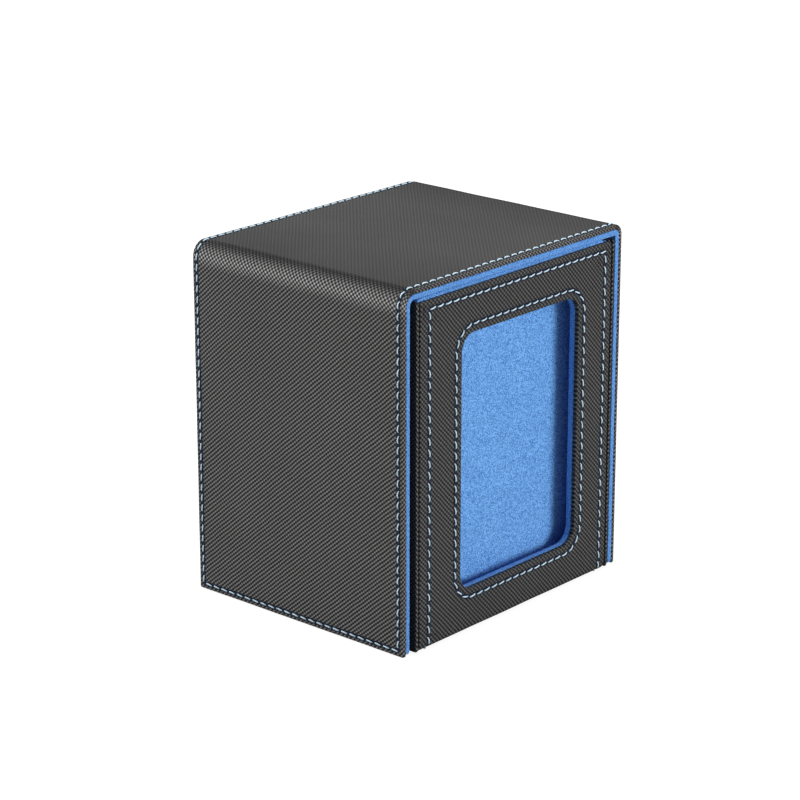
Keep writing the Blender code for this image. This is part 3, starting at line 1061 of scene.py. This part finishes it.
@dataclass
class Studio:
    """Pale floor, soft light and the photograph's camera."""

    azimuth: float = -48.676
    elevation: float = 18.465
    roll: float = 0.015
    shift_right: float = 35.29
    shift_up: float = -65.64
    distance: float = 894.44
    front: float = -43.0
    focal: float = 127.74
    floor_half: float = 4.0
    ambient: float = 0.2

    def camera(self) -> None:
        """Make the camera: it looks at the foot of the front from its azimuth and elevation, moved aside."""
        azimuth, elevation, roll = map(math.radians, (self.azimuth, self.elevation, self.roll))
        back = Vector((math.sin(azimuth) * math.cos(elevation), -math.cos(azimuth) * math.cos(elevation),
                       math.sin(elevation)))
        right = Vector((0.0, 0.0, 1.0)).cross(back).normalized()
        up = back.cross(right)
        level = math.cos(roll) * right + math.sin(roll) * up
        lift = math.cos(roll) * up - math.sin(roll) * right
        place = Vector((0.0, self.front, 0.0)) - self.shift_right * level - self.shift_up * lift
        place = (place + self.distance * back) * MM
        data = bpy.data.cameras.new("camera")
        data.lens = self.focal
        data.sensor_width = 36.0
        thing = link("camera", data)
        turn = Matrix((level, lift, back)).transposed().to_4x4()
        thing.matrix_world = Matrix.Translation(place) @ turn
        bpy.context.scene.camera = thing

    def lamp(self, name: str, place: Triple, power: float, size: float) -> None:
        """Hang a square soft lamp that faces the box.

        Args:
            name: the lamp's name.
            place: where it hangs, in metres.
            power: its power in watts.
            size: its side in metres.
        """
        data = bpy.data.lights.new(name, "AREA")
        data.energy = power
        data.size = size
        thing = link(name, data)
        thing.location = place
        aim = Vector((0.0, 0.0, 0.05)) - Vector(place)
        thing.rotation_euler = aim.to_track_quat("-Z", "Y").to_euler()

    def floor(self) -> None:
        """Lay the pale floor: a level grid that the camera sees nearly white, with the box's shadow."""
        grid = bmesh.new()
        bmesh.ops.create_grid(grid, x_segments=8, y_segments=8, size=self.floor_half)
        mesh = bpy.data.meshes.new("floor")
        grid.to_mesh(mesh)
        grid.free()
        thing = link("floor", mesh)
        n = Nodes("pale_floor")
        place = n.place()
        tone = n.math("MULTIPLY_ADD", n.noise(place, 40.0, 3.0), 0.02, 0.45)
        seen = n.add("ShaderNodeLightPath").outputs["Is Camera Ray"]
        colour = n.add("ShaderNodeCombineColor", tone, tone, tone).outputs[0]
        away = n.add("ShaderNodeVectorMath", place, operation="LENGTH").outputs["Value"]
        white = n.math("MULTIPLY_ADD", n.spread(away, 0.3, 1.2), 0.14, 0.86)
        glow = n.add("ShaderNodeEmission", (1.0, 1.0, 1.0, 1.0), white)
        matt = n.add("ShaderNodeBsdfDiffuse", (0.36, 0.36, 0.36, 1.0))
        pale = n.add("ShaderNodeBsdfDiffuse", colour)
        both = n.add("ShaderNodeAddShader", glow.outputs[0], matt.outputs[0])
        mixed = n.add("ShaderNodeMixShader", seen, pale.outputs[0], both.outputs[0])
        n.tree.links.new(mixed.outputs[0], n.tree.nodes["Material Output"].inputs["Surface"])
        mesh.materials.append(n.material)

    def world(self) -> None:
        """Light from all round, and white where the camera looks past the floor."""
        world = bpy.data.worlds.new("studio")
        world.use_nodes = True
        tree = world.node_tree
        ray = tree.nodes.new("ShaderNodeLightPath")
        mixed = tree.nodes.new("ShaderNodeMixShader")
        tree.links.new(ray.outputs["Is Camera Ray"], mixed.inputs[0])
        skies = ((tree.nodes["Background"], self.ambient), (tree.nodes.new("ShaderNodeBackground"), 1.0))
        for socket, (sky, strength) in enumerate(skies, start=1):
            sky.inputs["Color"].default_value = (1.0, 1.0, 1.0, 1.0)
            sky.inputs["Strength"].default_value = strength
            tree.links.new(sky.outputs[0], mixed.inputs[socket])
        tree.links.new(mixed.outputs[0], tree.nodes["World Output"].inputs["Surface"])
        bpy.context.scene.world = world

    def build(self) -> None:
        """Set up the camera, the floor and the light."""
        self.camera()
        self.floor()
        self.world()
        self.lamp("key", (0.28, -1.15, 0.3), 10.4, 0.5)
        self.lamp("side", (-1.15, 0.45, 0.4), 9.6, 0.8)
        self.lamp("top", (0.1, 0.15, 1.25), 8.0, 0.7)
        bpy.context.scene.view_settings.view_transform = "Standard"


def main() -> None:
    """Build the studio, then the box from the outside in."""
    logging.basicConfig(level=logging.INFO, format="%(message)s")
    Studio().build()
    palette = Palette()
    dress_packed(palette)
    Shell().build(palette)
    core = Core()
    core.build_leather(palette)
    core.build_linings(palette)


if __name__ == "__main__":
    main()
